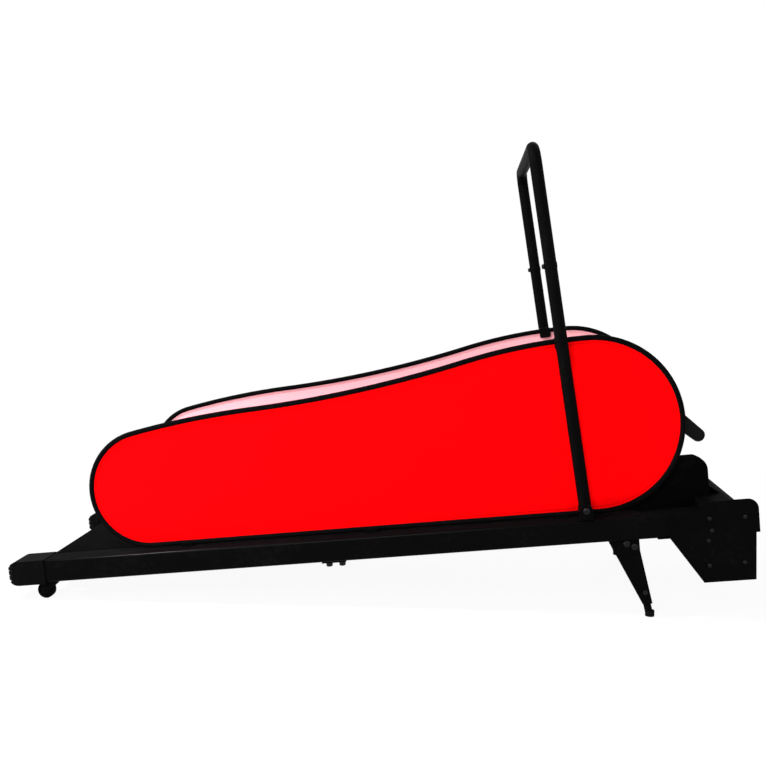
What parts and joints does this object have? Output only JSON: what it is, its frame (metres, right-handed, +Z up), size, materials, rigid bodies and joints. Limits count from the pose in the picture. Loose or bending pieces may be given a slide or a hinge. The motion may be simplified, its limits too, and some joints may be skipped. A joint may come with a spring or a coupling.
{
  "type": "dog treadmill",
  "caption": "Motorised dog treadmill: belted deck sloped on a front stand, fabric side panels on bent hoops, folding arch handle, front motor bay with console, rear transport wheels.",
  "frame": {"origin": "middle of the bounding box on the floor, with the wheels and the stand on the floor", "axes": "+X towards the motor bay along the deck's floor plan, +Y to the dog's left, +Z up"},
  "size_m": [1.9188, 0.638, 1.177],
  "materials": {
    "black_paint": "satin powder coat",
    "black_plastic": "fine moulded grain",
    "wheel_rubber": "matt",
    "belt": "fine woven tread",
    "board": "pressed board, waxed",
    "bright_steel": "turned",
    "dark_steel": "blackened",
    "motor_paint": "satin",
    "bare_aluminium": "satin",
    "red_fabric": "close weave, paler on its inner face",
    "black_binding": "woven binding",
    "switch_red": "gloss",
    "button_green": "gloss",
    "button_grey": "gloss",
    "display_black": "polished",
    "circuit_green": "solder mask"
  },
  "bodies": {
    "frame": {"right_rail": "black_paint", "left_rail": "black_paint", "cross_members": "black_paint", "tie_strap": "black_paint", "frame_bolts": "dark_steel", "right_end_cap": "black_plastic", "left_end_cap": "black_plastic", "wheel_brackets": "black_paint", "deck_board": "board", "deck_cushions": "wheel_rubber", "running_belt": "belt", "roller_shafts": "bright_steel", "roller_bearings": "bright_steel", "tension_bolts": "bright_steel", "motor_case": "motor_paint", "motor_cradle": "black_paint", "drive_belt": "belt", "control_box": "bare_aluminium", "motor_tray": "black_paint", "right_side_plate": "black_paint", "left_side_plate": "black_paint", "side_plate_screws": "dark_steel", "nose_cover": "black_plastic", "motor_hood": "black_plastic", "power_inlet": "black_plastic", "console_pedestal": "black_plastic", "console_back": "black_plastic", "console_face": "black_plastic", "console_board": "circuit_green", "display_lens": "display_black", "post_brackets": "black_paint", "post_pivot_bolts": "dark_steel", "right_hoop": "black_binding", "left_hoop": "black_binding", "right_panel": "red_fabric", "left_panel": "red_fabric", "hoop_saddles": "black_plastic", "panel_clips": "black_plastic", "leg_sockets": "black_paint"},
    "front_drive": {"front_roller": "bright_steel", "roller_pulley": "bare_aluminium"},
    "rear_roller": {"rear_roller": "bright_steel"},
    "motor_rotor": {"motor_rotor": "bright_steel"},
    "right_wheel": {"right_wheel": "wheel_rubber"},
    "left_wheel": {"left_wheel": "wheel_rubber"},
    "incline_stand": {"incline_stand": "black_paint", "stand_feet": "wheel_rubber"},
    "arch_handle": {"right_post": "black_paint", "left_post": "black_paint", "handle_spigots": "bright_steel", "upper_handle": "black_paint", "handle_bolts": "dark_steel"},
    "right_clamp_screw": {"right_clamp_screw": "dark_steel"},
    "left_clamp_screw": {"left_clamp_screw": "dark_steel"},
    "start_button": {"start_button": "button_green"},
    "stop_button": {"stop_button": "switch_red"},
    "faster_button": {"faster_button": "button_grey"},
    "slower_button": {"slower_button": "button_grey"},
    "safety_key": {"safety_key": "switch_red"},
    "power_switch": {"power_switch": "switch_red"}
  },
  "joints": [
    {"name": "front_roller_spin", "type": "hinge", "parent": "frame", "child": "front_drive", "pos_m": [0.76252, 0, 0.23852], "axis": [0, 1, 0], "continuous": true},
    {"name": "rear_roller_spin", "type": "hinge", "parent": "frame", "child": "rear_roller", "pos_m": [-0.85942, 0, 0.07663], "axis": [0, 1, 0], "continuous": true},
    {"name": "motor_spin", "type": "hinge", "parent": "frame", "child": "motor_rotor", "pos_m": [0.89049, 0, 0.16466], "axis": [0, 1, 0], "continuous": true},
    {"name": "right_wheel_spin", "type": "hinge", "parent": "frame", "child": "right_wheel", "pos_m": [-0.86603, -0.276, 0.022], "axis": [0, 1, 0], "continuous": true},
    {"name": "left_wheel_spin", "type": "hinge", "parent": "frame", "child": "left_wheel", "pos_m": [-0.86603, 0.276, 0.022], "axis": [0, 1, 0], "continuous": true},
    {"name": "stand_slide", "type": "slide", "parent": "frame", "child": "incline_stand", "axis": [0.236, 0, -0.9718], "range_m": [0, 0.03]},
    {"name": "handle_fold", "type": "hinge", "parent": "frame", "child": "arch_handle", "pos_m": [0.54061, 0, 0.27189], "axis": [0, -1, 0], "range_deg": [0, 60]},
    {"name": "right_clamp_turn", "type": "hinge", "parent": "frame", "child": "right_clamp_screw", "pos_m": [0.6906, -0.279, 0.06699], "axis": [0, -1, 0], "range_deg": [0, 360]},
    {"name": "left_clamp_turn", "type": "hinge", "parent": "frame", "child": "left_clamp_screw", "pos_m": [0.6906, 0.279, 0.06699], "axis": [0, 1, 0], "range_deg": [0, 360]},
    {"name": "start_press", "type": "slide", "parent": "frame", "child": "start_button", "axis": [-0.6468, 0, -0.7627], "range_m": [0, 0.0015], "stiffness_N_per_m": 800, "springref_m": -0.001},
    {"name": "stop_press", "type": "slide", "parent": "frame", "child": "stop_button", "axis": [-0.6468, 0, -0.7627], "range_m": [0, 0.0015], "stiffness_N_per_m": 800, "springref_m": -0.001},
    {"name": "faster_press", "type": "slide", "parent": "frame", "child": "faster_button", "axis": [-0.6468, 0, -0.7627], "range_m": [0, 0.0015], "stiffness_N_per_m": 800, "springref_m": -0.001},
    {"name": "slower_press", "type": "slide", "parent": "frame", "child": "slower_button", "axis": [-0.6468, 0, -0.7627], "range_m": [0, 0.0015], "stiffness_N_per_m": 800, "springref_m": -0.001},
    {"name": "safety_key_pull", "type": "slide", "parent": "frame", "child": "safety_key", "axis": [0.6468, 0, 0.7627], "range_m": [0, 0.03]},
    {"name": "power_rocker", "type": "hinge", "parent": "frame", "child": "power_switch", "pos_m": [0.95145, 0.1335, 0.24361], "axis": [0, 1, 0], "range_deg": [0, 16]}
  ],
  "couplings": [
    {"joint": "rear_roller_spin", "follows": "front_roller_spin", "ratio": 1},
    {"joint": "motor_spin", "follows": "front_roller_spin", "ratio": 1.6}
  ]
}
